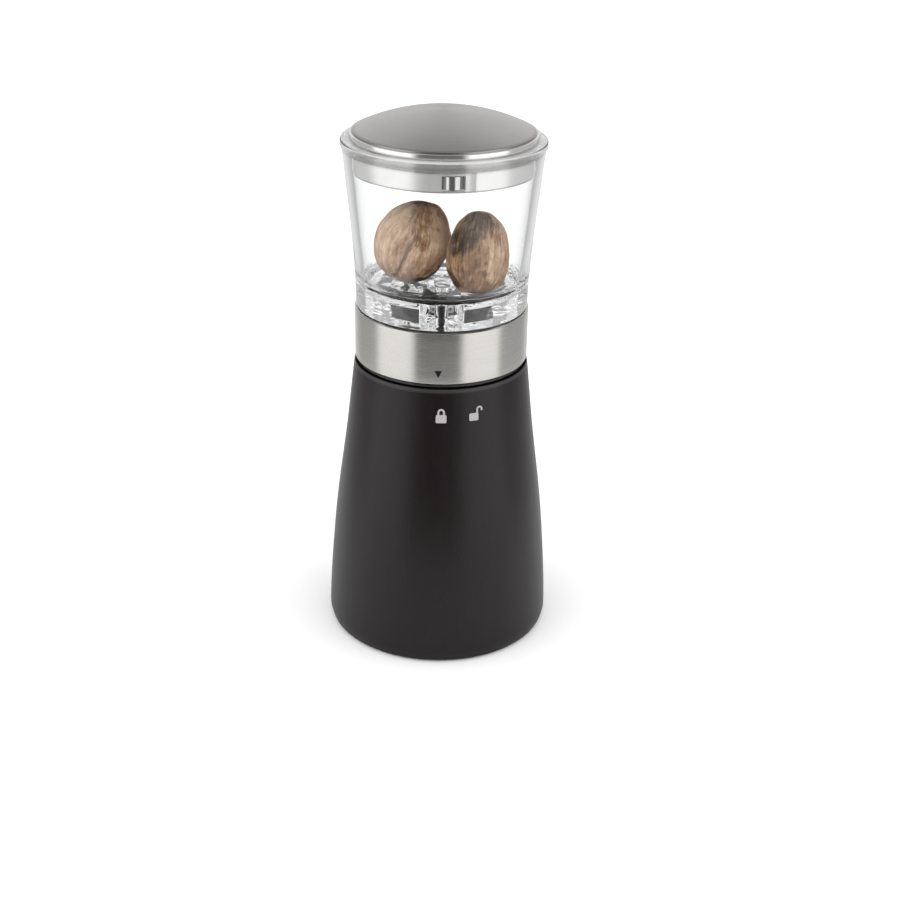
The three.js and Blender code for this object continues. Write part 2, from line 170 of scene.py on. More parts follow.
def box_bm(bm, lo, hi, turn=0.0):
    """A box in mm, turned about Z by turn degrees."""
    m = Matrix.Rotation(math.radians(turn), 4, "Z")
    v = [
        bm.verts.new(m @ (Vector((x, y, z)) * MM))
        for z in (lo[2], hi[2])
        for y in (lo[1], hi[1])
        for x in (lo[0], hi[0])
    ]
    for f in ((0, 2, 3, 1), (4, 5, 7, 6), (0, 1, 5, 4), (2, 6, 7, 3), (0, 4, 6, 2), (1, 3, 7, 5)):
        bm.faces.new([v[i] for i in f])


def boolean(obj, bm, operation, sharp_deg=32):
    """Joins obj with, or cuts it by, the closed solids in bm."""
    bmesh.ops.recalc_face_normals(bm, faces=bm.faces)
    mesh = bpy.data.meshes.new("tool")
    bm.to_mesh(mesh)
    bm.free()
    tool = bpy.data.objects.new("tool", mesh)
    scene.collection.objects.link(tool)
    mod = obj.modifiers.new("boolean", "BOOLEAN")
    mod.operation, mod.solver, mod.object = operation, "EXACT", tool
    mod.use_self = operation == "UNION"
    bpy.context.view_layer.update()
    done = bpy.data.meshes.new_from_object(obj.evaluated_get(bpy.context.evaluated_depsgraph_get()))
    obj.modifiers.remove(mod)
    old = obj.data
    obj.data = done
    bpy.data.meshes.remove(old)
    bpy.data.objects.remove(tool)
    bpy.data.meshes.remove(mesh)
    out = bmesh.new()
    out.from_mesh(done)
    bmesh.ops.remove_doubles(out, verts=out.verts, dist=1e-7)
    bmesh.ops.recalc_face_normals(out, faces=out.faces)
    limit = math.radians(sharp_deg)
    for f in out.faces:
        f.smooth = True
    for e in out.edges:
        e.smooth = len(e.link_faces) != 2 or e.calc_face_angle(0) < limit
    out.to_mesh(done)
    out.free()
    return obj


def sector_pockets(r_in, r_out, z0, z1, spoke_half):
    """Three pockets of a ring, with spokes at 0, 120 and 240 degrees between them, as a closed tool in mm."""
    ring = bmesh.new()
    cylinder_bm(ring, r_out, z0, z1, segments=120)
    bmesh.ops.recalc_face_normals(ring, faces=ring.faces)
    keep = bpy.data.objects.new("pockets", bpy.data.meshes.new("pockets"))
    scene.collection.objects.link(keep)
    ring.to_mesh(keep.data)
    ring.free()
    core = bmesh.new()
    cylinder_bm(core, r_in, z0 - 1, z1 + 1, segments=64)
    boolean(keep, core, "DIFFERENCE", 40)
    for deg in (0, 120, 240):
        spoke = bmesh.new()
        box_bm(spoke, (-spoke_half, -r_out - 2, z0 - 1), (spoke_half, 0.0, z1 + 1), deg)
        boolean(keep, spoke, "DIFFERENCE", 40)
    tool = bmesh.new()
    tool.from_mesh(keep.data)
    bpy.data.objects.remove(keep)
    return tool


def place(obj, body, replaces=(), material=None):
    if material:
        obj.data.materials.clear()
        obj.data.materials.append(material)
    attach(obj, body)
    if replaces:
        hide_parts(*replaces)
    return obj


# ------------------------------------------------------------------ node helpers
class Tree:
    """A material under construction."""

    def __init__(self, name):
        self.mat = bpy.data.materials.new(name)
        self.mat.use_nodes = True
        self.nodes = self.mat.node_tree.nodes
        self.links = self.mat.node_tree.links
        self.nodes.clear()
        self.out = self.nodes.new("ShaderNodeOutputMaterial")
        self.coord = self.nodes.new("ShaderNodeTexCoord").outputs["Object"]

    def node(self, kind, inputs=None, **props):
        n = self.nodes.new("ShaderNode" + kind)
        for k, v in props.items():
            setattr(n, k, v)
        for k, v in (inputs or {}).items():
            self.set(n.inputs[k], v)
        return n

    def set(self, socket, value):
        if isinstance(value, bpy.types.NodeSocket):
            self.links.new(value, socket)
        else:
            socket.default_value = value

    def math(self, op, a, b=0.0, clamp=False):
        n = self.node("Math", {0: a, 1: b}, operation=op)
        n.use_clamp = clamp
        return n.outputs[0]

    def scaled(self, scale, offset=(0, 0, 0)):
        """The object's own coordinates, times scale per metre."""
        n = self.node("Mapping", {"Vector": self.coord})
        n.inputs["Scale"].default_value = scale
        n.inputs["Location"].default_value = offset
        return n.outputs[0]

    def noise(self, vector, scale=1.0, detail=3.0, rough=0.5, distortion=0.0, lac=2.0):
        n = self.node("TexNoise", {"Vector": vector, "Scale": scale, "Detail": detail, "Roughness": rough, "Distortion": distortion, "Lacunarity": lac})
        return n.outputs["Fac"]

    def ramp(self, fac, stops, interpolation="LINEAR"):
        n = self.node("ValToRGB", {"Fac": fac})
        e = n.color_ramp.elements
        n.color_ramp.interpolation = interpolation
        while len(e) < len(stops):
            e.new(0.5)
        for item, (pos, col) in zip(e, stops):
            item.position = pos
            item.color = (*col, 1) if len(col) == 3 else col
        return n.outputs["Color"]

    def span(self, value, lo, hi, to_lo=0.0, to_hi=1.0, smooth=False):
        n = self.node("MapRange", {"Value": value, "From Min": lo, "From Max": hi, "To Min": to_lo, "To Max": to_hi})
        if smooth:
            n.interpolation_type = "SMOOTHSTEP"
        return n.outputs["Result"]

    def mix(self, fac, a, b, blend="MIX"):
        n = self.node("Mix", data_type="RGBA", blend_type=blend)
        for s, v in ((n.inputs[0], fac), (n.inputs[6], a), (n.inputs[7], b)):
            if isinstance(v, tuple) and len(v) == 3:
                v = (*v, 1)
            self.set(s, v)
        return n.outputs[2]

    def bump(self, height, distance, strength=1.0, normal=None):
        n = self.node("Bump", {"Height": height, "Distance": distance, "Strength": strength})
        if normal:
            self.links.new(normal, n.inputs["Normal"])
        return n.outputs["Normal"]

    def attribute(self, name):
        return self.node("Attribute", attribute_name=name).outputs["Fac"]

    def principled(self, **inputs):
        n = self.node("BsdfPrincipled")
        for k, v in inputs.items():
            k = k.replace("_", " ")
            if isinstance(v, tuple) and len(v) == 3 and k.endswith("Color"):
                v = (*v, 1)
            self.set(n.inputs[k], v)
        self.links.new(n.outputs[0], self.out.inputs["Surface"])
        return n


# ------------------------------------------------------------------ materials
def stained_wood():
    """Turned beech, stained charcoal, under a thin satin lacquer. The grain runs up the piece."""
    t = Tree("stained_wood")
    streak = t.noise(t.scaled((420, 420, 14)), detail=5, rough=0.62)
    broad = t.noise(t.scaled((60, 60, 7), (3, 1, 2)), detail=2)
    fleck = t.noise(t.scaled((2300, 2300, 260)), detail=2, rough=0.4)
    flecks = t.span(fleck, 0.60, 0.70, smooth=True)
    pores = t.span(t.noise(t.scaled((5200, 5200, 420), (9, 4, 1)), detail=1), 0.62, 0.74, smooth=True)
    tone = t.ramp(t.math("ADD", t.math("MULTIPLY", streak, 0.7), t.math("MULTIPLY", broad, 0.3)),
                  [(0.30, (0.0040, 0.0013, 0.0018)), (0.52, (0.0050, 0.0021, 0.0026)), (0.74, (0.0072, 0.0040, 0.0044))])
    tone = t.mix(t.math("MULTIPLY", flecks, 0.22), tone, (0.0150, 0.0120, 0.0112))
    tone = t.mix(t.math("MULTIPLY", pores, 0.5), tone, (0.0028, 0.0026, 0.0027))
    rough = t.span(t.math("ADD", streak, t.math("MULTIPLY", pores, 0.15)), 0.3, 0.9, 0.33, 0.41)
    height = t.math("ADD", t.math("MULTIPLY", streak, 0.6), t.math("ADD", t.math("MULTIPLY", flecks, 0.22), t.math("MULTIPLY", pores, -0.55)))
    # the turned shoulder under the band is painted lighter, a painted highlight; its top face, in the gap, is painted
    # black as shade and reflects almost nothing
    z = t.node("SeparateXYZ", {0: t.coord}).outputs[2]
    shoulder = t.math("MULTIPLY", t.span(z, 0.0846, 0.0854, smooth=True), t.span(z, 0.08585, 0.08605, 1.0, 0.0, smooth=True))
    inside = t.span(z, 0.08600, 0.08615, smooth=True)
    # painted highlight on the shoulder, painted shade in the gap
    tone = t.mix(t.math("MULTIPLY", shoulder, 0.9), tone, (0.034, 0.030, 0.028))
    tone = t.mix(inside, tone, (0.0010, 0.0010, 0.0010))
    rough = t.math("ADD", rough, t.math("MULTIPLY", inside, 0.4))
    p = t.principled(Base_Color=tone, Roughness=rough, Normal=t.bump(height, 0.00002, 0.22))
    t.set(p.inputs["Specular IOR Level"], t.span(inside, 0.0, 1.0, 0.38, 0.04))
    return t.mat


def brushed_steel(name, colour, rough, aniso, across, lines, depth, sheen_variation=0.04, tangent="Z"):
    """Steel with fine lines. across and lines scale the lines' noise round and along the axis, per metre."""
    t = Tree(name)
    fine = t.noise(t.scaled((across, across, lines)), detail=4, rough=0.7)
    coarse = t.noise(t.scaled((across * 0.4, across * 0.4, lines * 0.16), (1, 2, 3)), detail=2)
    smear = t.noise(t.scaled((38, 38, 60), (5, 5, 5)), detail=2)
    light = tuple(min(1, c * (1 + sheen_variation)) for c in colour)
    dark = tuple(c * (1 - sheen_variation * 1.6) for c in colour)
    tone = t.ramp(t.math("ADD", t.math("MULTIPLY", fine, 0.65), t.math("MULTIPLY", coarse, 0.35)), [(0.32, dark), (0.68, light)])
    roughness = t.span(t.math("ADD", fine, t.math("MULTIPLY", smear, 0.6)), 0.5, 1.1, rough - 0.05, rough + 0.06)
    p = t.principled(Base_Color=tone, Roughness=roughness, Normal=t.bump(t.math("ADD", fine, coarse), depth, 0.5))
    p.inputs["Metallic"].default_value = 1.0
    p.inputs["Anisotropic"].default_value = aniso
    p.inputs["Anisotropic Rotation"].default_value = 0.25
    if aniso:
        tangent_node = t.node("Tangent", direction_type="RADIAL", axis=tangent)
        t.links.new(tangent_node.outputs[0], p.inputs["Tangent"])
    return t.mat


def turned_steel(name, colour, rough, aniso, depth):
    """Steel brushed in circles about Z, as on a spun dome: fine lines keep their distance from the axis."""
    t = Tree(name)
    n = t.node("SeparateXYZ", {0: t.coord})
    r = t.math("SQRT", t.math("ADD", t.math("MULTIPLY", n.outputs[0], n.outputs[0]), t.math("MULTIPLY", n.outputs[1], n.outputs[1])))
    ring = t.node("CombineXYZ", {0: t.math("MULTIPLY", r, 5200.0), 1: t.math("MULTIPLY", n.outputs[0], 34.0), 2: t.math("MULTIPLY", n.outputs[1], 34.0)}).outputs[0]
    fine = t.noise(ring, detail=4, rough=0.65)
    ring2 = t.node("CombineXYZ", {0: t.math("MULTIPLY", r, 900.0), 1: t.math("MULTIPLY", n.outputs[0], 12.0), 2: t.math("MULTIPLY", n.outputs[1], 12.0)}).outputs[0]
    coarse = t.noise(ring2, detail=2)
    smear = t.noise(t.scaled((45, 45, 45), (2, 7, 1)), detail=3)
    tone = t.ramp(t.math("ADD", t.math("MULTIPLY", fine, 0.6), t.math("MULTIPLY", coarse, 0.4)),
                  [(0.34, tuple(c * 0.93 for c in colour)), (0.66, tuple(min(1, c * 1.04) for c in colour))])
    roughness = t.span(t.math("ADD", fine, t.math("MULTIPLY", smear, 0.7)), 0.5, 1.2, rough - 0.05, rough + 0.07)
    # painted shade: the dome is darkened over its last millimetre, before the groove; the edge outside it is polished
    polished = t.span(r, 0.02586, 0.02600, smooth=True)
    tone = t.mix(t.span(r, 0.0246, 0.0257, 0.0, 0.55, smooth=True), tone, tuple(c * 0.55 for c in colour))
    tone = t.mix(polished, tone, (0.90, 0.89, 0.88))
    roughness = t.math("SUBTRACT", roughness, t.math("MULTIPLY", polished, 0.14))
    p = t.principled(Base_Color=tone, Roughness=roughness, Normal=t.bump(t.math("ADD", fine, t.math("MULTIPLY", coarse, 0.5)), depth, 0.5))
    p.inputs["Metallic"].default_value = 1.0
    p.inputs["Anisotropic"].default_value = aniso
    p.inputs["Anisotropic Rotation"].default_value = 0.25
    tangent_node = t.node("Tangent", direction_type="RADIAL", axis="Z")
    t.links.new(tangent_node.outputs[0], p.inputs["Tangent"])
    return t.mat


def plain_steel(name, colour, rough, wear=0.05):
    """Bright machined or drawn steel, with faint marks of handling."""
    t = Tree(name)
    fine = t.noise(t.scaled((1500, 1500, 1500)), detail=3, rough=0.6)
    cloud = t.noise(t.scaled((160, 160, 160), (4, 2, 8)), detail=3)
    tone = t.ramp(cloud, [(0.3, tuple(c * 0.92 for c in colour)), (0.7, colour)])
    roughness = t.span(t.math("ADD", fine, cloud), 0.7, 1.3, max(0.02, rough - wear), rough + wear)
    p = t.principled(Base_Color=tone, Roughness=roughness, Normal=t.bump(fine, 0.000004, 0.3))
    p.inputs["Metallic"].default_value = 1.0
    return t.mat


def drawn_skirt():
    """The lid's cup: bright drawn steel above, satin where the hopper's mouth rubs it, with painted shade along the cut
    edge at the bottom.
    """
    t = Tree("drawn_skirt")
    fine = t.noise(t.scaled((1500, 1500, 1500)), detail=3, rough=0.6)
    cloud = t.noise(t.scaled((160, 160, 160), (4, 2, 8)), detail=3)
    height = t.node("SeparateXYZ", {0: t.coord}).outputs[2]
    bright = t.span(height, 0.1484, 0.1492, smooth=True)
    tone = t.ramp(cloud, [(0.3, (0.88, 0.875, 0.865)), (0.7, (0.93, 0.925, 0.915))])
    tone = t.mix(bright, tone, (0.78, 0.77, 0.76))
    # painted shade: the skirt's bottom edge is darkened
    tone = t.mix(t.span(height, 0.14355, 0.14395, 1.0, 0.0), tone, (0.42, 0.42, 0.415))
    roughness = t.math("ADD", t.math("SUBTRACT", 0.33, t.math("MULTIPLY", bright, 0.20)), t.span(fine, 0.3, 0.7, -0.03, 0.03))
    p = t.principled(Base_Color=tone, Roughness=roughness, Normal=t.bump(fine, 0.000004, 0.3))
    p.inputs["Metallic"].default_value = 0.72
    return t.mat


def clear_acrylic():
    t = Tree("clear_acrylic")
    # a moulding's faint unevenness, far too small to see as colour
    swirl = t.noise(t.scaled((95, 95, 70)), detail=2, rough=0.45)
    height = t.node("SeparateXYZ", {0: t.coord}).outputs[2]
    # the lip is less polished than the wall, its top face least
    lip = t.math("ADD", t.span(height, 0.1496, 0.1502, 0.0, 0.10, smooth=True), t.span(height, 0.15150, 0.15195, 0.0, 0.25, smooth=True))
    # a faint grey tint overall, with a painted shade line, dark grey, along the lip's lower edge
    tint_with_painted_shade = t.ramp(t.span(height, 0.140, 0.160), [(0.43, (0.950, 0.955, 0.953)), (0.47, (0.50, 0.50, 0.495)), (0.50, (0.50, 0.50, 0.495)), (0.53, (0.93, 0.93, 0.925)), (0.575, (0.95, 0.95, 0.945))])
    # the thick floor has sunk and rippled as it cooled, the wall round it hardly
    n = t.node("SeparateXYZ", {0: t.coord})
    r = t.math("SQRT", t.math("ADD", t.math("MULTIPLY", n.outputs[0], n.outputs[0]), t.math("MULTIPLY", n.outputs[1], n.outputs[1])))
    ripple = t.noise(t.scaled((200, 200, 120), (4, 9, 1)), detail=1, rough=0.4)
    low = t.math("MULTIPLY", t.span(height, 0.108, 0.122, 1.0, 0.0, smooth=True), t.span(r, 0.0205, 0.0245, 1.0, 0.16, smooth=True))
    wavy = t.bump(t.math("MULTIPLY", ripple, low), 0.0010, 0.75, t.bump(swirl, 0.00006, 0.35))
    p = t.principled(Base_Color=tint_with_painted_shade, Normal=wavy, Roughness=lip)
    p.inputs["IOR"].default_value = 1.49
    p.inputs["Specular Tint"].default_value = (0.55, 0.55, 0.55, 1)
    t.set(p.inputs["Transmission Weight"], t.span(height, 0.15183, 0.15196, 1.0, 0.72))
    # light on its way to or from a matt surface goes straight through
    rays = t.node("LightPath").outputs
    through = t.node("BsdfTransparent", {"Color": (0.95, 0.955, 0.955, 1)})
    blend = t.node("MixShader", {0: t.math("MAXIMUM", rays["Is Shadow Ray"], rays["Is Diffuse Ray"]), 1: p.outputs[0], 2: through.outputs[0]})
    t.links.new(blend.outputs[0], t.out.inputs["Surface"])
    return t.mat


def moulded_plastic(name, colour, rough, spec=0.5, grain=2600, depth=0.00001):
    t = Tree(name)
    pits = t.noise(t.scaled((grain, grain, grain)), detail=2, rough=0.5)
    cloud = t.noise(t.scaled((120, 120, 120), (1, 6, 2)), detail=3)
    tone = t.ramp(cloud, [(0.3, tuple(c * 0.86 for c in colour)), (0.7, tuple(min(1, c * 1.1) for c in colour))])
    roughness = t.span(t.math("ADD", pits, cloud), 0.7, 1.3, rough - 0.06, rough + 0.06)
    p = t.principled(Base_Color=tone, Roughness=roughness, Normal=t.bump(pits, depth, 0.5))
    p.inputs["Specular IOR Level"].default_value = spec
    return t.mat


def printed(name, colour, rough=0.5):
    t = Tree(name)
    grain = t.noise(t.scaled((9000, 9000, 9000)), detail=2)
    tone = t.ramp(grain, [(0.25, tuple(c * 0.8 for c in colour)), (0.6, colour)])
    t.principled(Base_Color=tone, Roughness=t.span(grain, 0.3, 0.7, rough - 0.05, rough + 0.1), Normal=t.bump(grain, 0.000003, 0.4))
    return t.mat


def nutmeg_skin():
    """Dry seed: tan with fine lines from end to end, brown and grey areas, furrows and small scars.
    The mesh carries where these lie; the fine grain is added here."""
    t = Tree("nutmeg")
    tone, brown, grey_and_painted_shade, groove, pit = [t.attribute(k) for k in ("tone", "brown", "grey_and_painted_shade", "groove", "pit")]
    streaks = t.noise(t.scaled((2300, 2300, 520)), detail=4, rough=0.7)
    mottle = t.noise(t.scaled((900, 900, 640), (2, 2, 2)), detail=6, rough=0.7)
    dust = t.noise(t.scaled((2600, 2600, 2600), (7, 1, 3)), detail=3, rough=0.7)
    value = t.math("ADD", tone, t.math("ADD", t.math("MULTIPLY", t.math("SUBTRACT", streaks, 0.5), 0.95), t.math("MULTIPLY", t.math("SUBTRACT", mottle, 0.5), 1.10)))
    tan_tone = t.ramp(value, [(0.05, (0.200, 0.118, 0.066)), (0.40, (0.340, 0.218, 0.134)), (0.62, (0.450, 0.303, 0.198)), (0.95, (0.570, 0.420, 0.300))])
    brown_tone = t.ramp(value, [(0.10, (0.115, 0.055, 0.026)), (0.40, (0.235, 0.132, 0.072)), (0.62, (0.310, 0.185, 0.108)), (0.95, (0.440, 0.300, 0.195))])
    grey_tone = t.ramp(value, [(0.10, (0.022, 0.010, 0.004)), (0.40, (0.070, 0.041, 0.024)), (0.62, (0.132, 0.085, 0.056)), (0.95, (0.270, 0.190, 0.135))])
    ragged = t.math("MULTIPLY", t.math("SUBTRACT", mottle, 0.5), 1.2)
    skin = t.mix(t.span(t.math("ADD", brown, ragged), 0.10, 0.80), tan_tone, brown_tone)
    # grey skin; the grey areas low on the seed are painted shade
    skin = t.mix(t.span(t.math("ADD", grey_and_painted_shade, t.math("MULTIPLY", ragged, 0.8)), 0.12, 0.95, 0.0, 0.97), skin, grey_tone)
    skin = t.mix(t.math("MULTIPLY", groove, 0.75), skin, (0.080, 0.040, 0.020))
    skin = t.mix(t.math("MULTIPLY", pit, 0.85), skin, (0.150, 0.062, 0.024))
    skin = t.mix(t.math("MULTIPLY", t.span(dust, 0.54, 0.72, smooth=True), 0.14), skin, (0.600, 0.500, 0.400))
    height = t.math("ADD", t.math("MULTIPLY", streaks, 0.6), t.math("ADD", t.math("MULTIPLY", mottle, 0.6), t.math("MULTIPLY", dust, 0.2)))
    p = t.principled(Base_Color=skin, Roughness=t.span(mottle, 0.3, 0.7, 0.66, 0.82), Normal=t.bump(height, 0.00034, 0.75))
    p.inputs["Specular IOR Level"].default_value = 0.20
    return t.mat


WOOD = stained_wood()
BAND = brushed_steel("brushed_band", (0.615, 0.60, 0.565), 0.26, 0.75, 40, 9000, 0.000004, 0.025)
DOME = turned_steel("satin_dome", (0.53, 0.515, 0.50), 0.31, 0.55, 0.000006)
POLISHED = plain_steel("polished_steel", (0.80, 0.79, 0.78), 0.08, 0.04)
STEEL = plain_steel("stainless_steel", (0.66, 0.65, 0.64), 0.22, 0.06)
DARK_STEEL = plain_steel("blackened_steel", (0.022, 0.022, 0.023), 0.4, 0.05)
SKIRT = drawn_skirt()
SPRING = plain_steel("spring_steel", (0.50, 0.50, 0.50), 0.3, 0.06)
ACRYLIC = clear_acrylic()
BLACK = moulded_plastic("black_plastic", (0.014, 0.014, 0.015), 0.36)
HUB_BLACK = moulded_plastic("black_hub_plastic", (0.012, 0.012, 0.013), 0.42, 0.22)
WHITE = moulded_plastic("white_plastic", (0.72, 0.72, 0.69), 0.5)
NUTMEG = nutmeg_skin()
GREY_INK = printed("grey_print", (0.36, 0.35, 0.35))
BLACK_INK = printed("black_print", (0.006, 0.006, 0.006), 0.6)
BLACK_INK.node_tree.nodes["Principled BSDF"].inputs["Specular IOR Level"].default_value = 0.15

# ------------------------------------------------------------------ wooden base
WOOD_SIDE = [
    (34.0, 3.1), (33.85, 8), (33.4, 16), (32.72, 25), (31.85, 35), (30.72, 45),
    (29.35, 55), (28.02, 65), (26.9, 75), (25.98, 83.4),
]  # fmt: skip


def wood_radius(z):
    pts = WOOD_SIDE
    for (r0, z0), (r1, z1) in zip(pts, pts[1:]):
        if z <= z1:
            return r0 + (r1 - r0) * (z - z0) / (z1 - z0)
    return pts[-1][0]


def wood_body():
    side = curve_through(WOOD_SIDE, 1.6)
    foot = rounded([(31.0, 0.0), (33.2, 0.0, 2.2), side[0]], closed=False, n=8)[:-1]
    shoulder = rounded([side[-1], (25.74, 85.3), (25.55, 86.2, 0.85), (22.2, 86.2, 0.25), (22.2, 66.0)], closed=False, n=5)[1:]
    inside = rounded([(22.2, 66.0, 0.3), (17.4, 66.0, 0.3), (17.4, 13.0, 0.3), (23.2, 13.0, 0.4), (23.2, 0.7), (23.9, 0.0, 0.5)], closed=False, n=3)
    profile = foot + side + shoulder[:-1] + inside
    obj = lathe("wood_body_turned", profile, 256, 40)
    cut = bmesh.new()
    for deg in (0, 120, 240):
        a = math.radians(deg)
        cylinder_bm(cut, 1.5, 12.0, 21.5, 20.2 * math.sin(a), -20.2 * math.cos(a), 24)
        b = a + math.radians(60)
        cylinder_bm(cut, 1.2, 57.5, 67.0, 19.6 * math.sin(b), -19.6 * math.cos(b), 24)
    boolean(obj, cut, "DIFFERENCE", 40)
    return place(obj, "base", ["wood_body"], WOOD)


# ------------------------------------------------------------------ steel band, lid
def collar_band():
    profile = rounded([
        (24.75, 87.5, 0.12), (25.43, 87.5, 0.32), (25.43, 102.75, 0.34), (24.75, 102.75, 0.12),
    ], n=7)  # fmt: skip
    # rows along the height keep the shading even
    out = []
    for a, b in zip(profile, profile[1:] + profile[:1]):
        out.append(a)
        if abs(b[1] - a[1]) > 4:
            out += [(a[0], a[1] + (b[1] - a[1]) * k / 6) for k in range(1, 6)]
    obj = lathe("collar_band_brushed", out, 256, 50)
    return place(obj, "collar", ["collar_band"], BAND)


def collar_core():
    profile = rounded([
        (17.5, 77.0, 0.2), (18.95, 77.0, 0.2), (18.95, 87.5, 0.2), (24.45, 87.5, 0.2), (24.45, 102.4, 0.2),
        (20.5, 102.4, 0.3), (20.5, 96.6, 0.2), (16.1, 96.6, 0.2), (16.1, 88.6, 0.2), (17.5, 88.6, 0.2),
    ], n=3)  # fmt: skip
    obj = lathe("collar_core_moulded", profile, 192, 40)
    lugs = bmesh.new()
    for deg in (0, 120, 240):
        n, r0, r1 = 8, 18.2, 20.9
        verts = []
        for z in (77.3, 79.95):
            row = []
            for r in (r0, r1):
                row.append([
                    lugs.verts.new((r * MM * math.sin(math.radians(deg - 8 + 16 * k / n)), -r * MM * math.cos(math.radians(deg - 8 + 16 * k / n)), z * MM))
                    for k in range(n + 1)
                ])
            verts.append(row)
        (li, lo), (hi, ho) = verts
        for k in range(n):
            lugs.faces.new((li[k], lo[k], lo[k + 1], li[k + 1]))
            lugs.faces.new((hi[k], hi[k + 1], ho[k + 1], ho[k]))
            lugs.faces.new((lo[k], ho[k], ho[k + 1], lo[k + 1]))
            lugs.faces.new((li[k], li[k + 1], hi[k + 1], hi[k]))
        lugs.faces.new((li[0], hi[0], ho[0], lo[0]))
        lugs.faces.new((li[n], lo[n], ho[n], hi[n]))
    boolean(obj, lugs, "UNION", 40)
    return place(obj, "collar", ["collar_core"], BLACK)


def lid_cap():
    r_end, z_end, top = 25.7, 154.2, 160.0
    h = top - z_end
    rs = (r_end**2 + h**2) / (2 * h)
    outer = [(r, top - rs + math.sqrt(rs * rs - r * r)) for r in [0, 0.7, 1.5, 2.6, 4, 5.6, 7.4, 9.4, 11.5, 13.6, 15.7, 17.8, 19.7, 21.4, 22.9, 24.1, 25.2]]
    # the dome dips into a fine groove, then steps out to an upright edge
    edge = rounded([outer[-1], (25.75, 154.19, 0.16), (25.80, 153.66, 0.06), (26.00, 153.66, 0.06), (26.10, 153.80, 0.08), (26.65, 153.77, 0.26), (26.65, 152.3, 0.16), (25.9, 152.3, 0.25), (25.2, 153.1)], closed=False, n=7)[1:]
    inner = [(r, top - rs + math.sqrt((rs - 0.8) ** 2 - r * r)) for r in [24.2, 22, 19, 16, 13, 10, 7, 3.5, 0]]
    obj = lathe("lid_cap_dome", outer + edge + inner, 256, 50)
    return place(obj, "lid", ["lid_cap"], DOME)


CATCH_AT = (6, 126, 246)


def lid_skirt():
    profile = rounded([
        (2.3, 151.6, 0.1), (24.4, 151.6, 0.6), (24.4, 143.3, 0.34), (25.1, 143.3, 0.34), (25.1, 152.2, 0.5), (2.3, 152.2, 0.1),
    ], n=6)  # fmt: skip
    obj = lathe("lid_skirt_drawn", profile, 240, 45)
    # a flat pressed into the skirt at each catch, with a window in it
    pads, cut = bmesh.new(), bmesh.new()
    for deg in CATCH_AT:
        box_bm(pads, (-5.9, -24.7, 143.6), (5.9, -23.75, 148.9), deg)
    boolean(obj, pads, "UNION", 45)
    for deg in CATCH_AT:
        box_bm(cut, (-6.5, -26.0, 142.9), (6.5, -24.5, 148.7), deg)
        box_bm(cut, (-3.1, -26.0, 143.9), (3.1, -22.0, 148.1), deg)
    boolean(obj, cut, "DIFFERENCE", 30)
    return place(obj, "lid", ["lid_skirt"], SKIRT)


def lid_catches():
    """A sprung upright roller in each window, on a strip inside the skirt."""
    for i, deg in enumerate(CATCH_AT):
        bm = bmesh.new()
        c, s = math.cos(math.radians(deg)), math.sin(math.radians(deg))
        cylinder_bm(bm, 2.8, 144.2, 147.8, 22.3 * s, -22.3 * c, 64)
        obj = finish_mesh(bm, "lid_catch_roller_%d" % (i + 1), 30)
        strip = bmesh.new()
        box_bm(strip, (-4.4, -23.4, 143.9), (4.4, -22.8, 148.1), deg)
        boolean(obj, strip, "UNION", 30)
        place(obj, "lid", ["lid_catch_%d" % (i + 1)], POLISHED)


# ------------------------------------------------------------------ clear hopper
def hopper():
    floor_z, cove, wall = 109.6, 5.2, 22.94
    inner = curve_through([(wall, floor_z + cove), (23.45, 120), (24.3, 130), (25.0, 138), (25.4, 144), (25.5, 149.5)], 1.2)
    outer = curve_through([(28.62, 148.0), (28.35, 146), (27.6, 138), (26.75, 130), (25.85, 120), (25.25, 110), (25.1, 105.0)], 1.2)
    # a wide cove between floor and wall
    bend = [(wall - cove + cove * math.sin(math.pi / 2 * k / 28), floor_z + cove - cove * math.cos(math.pi / 2 * k / 28)) for k in range(28)]
    floor = [(0, floor_z), (9, floor_z), (14, floor_z)] + bend
    mouth = rounded([inner[-1], (25.5, 152.0, 0.4), (29.25, 152.0, 0.75), (29.25, 150.1, 0.45), (28.72, 149.7, 0.3), outer[0]], closed=False, n=6)[1:-1]
    under = rounded([outer[-1], (25.05, 103.3, 0.5), (4.2, 103.3, 0.12), (4.2, 108.4, 0.3), (0, 108.4)], closed=False, n=5)[1:]
    profile = floor + inner + mouth + outer + under
    obj = lathe("hopper_clear", profile, 256, 35)
    boolean(obj, sector_pockets(6.2, 15.0, 102.0, 107.3, 5.4), "DIFFERENCE", 35)
    cut = bmesh.new()
    for deg in (0, 120, 240):
        a = math.radians(deg)
        cylinder_bm(cut, 1.5, 102.0, 108.3, 11.2 * math.sin(a), -11.2 * math.cos(a), 32)
    boolean(obj, cut, "DIFFERENCE", 35)
    return place(obj, "hopper", ["hopper"], ACRYLIC)


def drive_hub():
    profile = rounded([
        (3.65, 78.0, 0.2), (7.0, 78.0, 0.3), (7.0, 98.0, 0.3), (13.6, 98.0, 0.3), (13.6, 84.0, 0.2), (15.7, 84.0, 0.2), (15.7, 86.7, 0.1),
        (14.6, 86.7, 0.1), (14.6, 88.5, 0.1), (15.7, 88.5, 0.1), (15.7, 98.0, 0.2), (20.1, 98.0, 0.2), (20.1, 102.7, 0.3),
        (2.0, 102.7, 0.15), (2.0, 100.6, 0.1), (3.65, 100.6, 0.1),
    ], n=3)  # fmt: skip
    obj = lathe("drive_hub_moulded", profile, 160, 40)
    holes = bmesh.new()
    for deg in (0, 120, 240):
        a = math.radians(deg)
        cylinder_bm(holes, 1.5, 97.0, 104.0, 11.2 * math.sin(a), -11.2 * math.cos(a), 32)
    boolean(obj, holes, "DIFFERENCE", 40)
    return place(obj, "hopper", ["drive_hub"], HUB_BLACK)


# ------------------------------------------------------------------ nutmegs
def smooth01(x):
    x = max(0.0, min(1.0, x))
    return x * x * (3 - 2 * x)


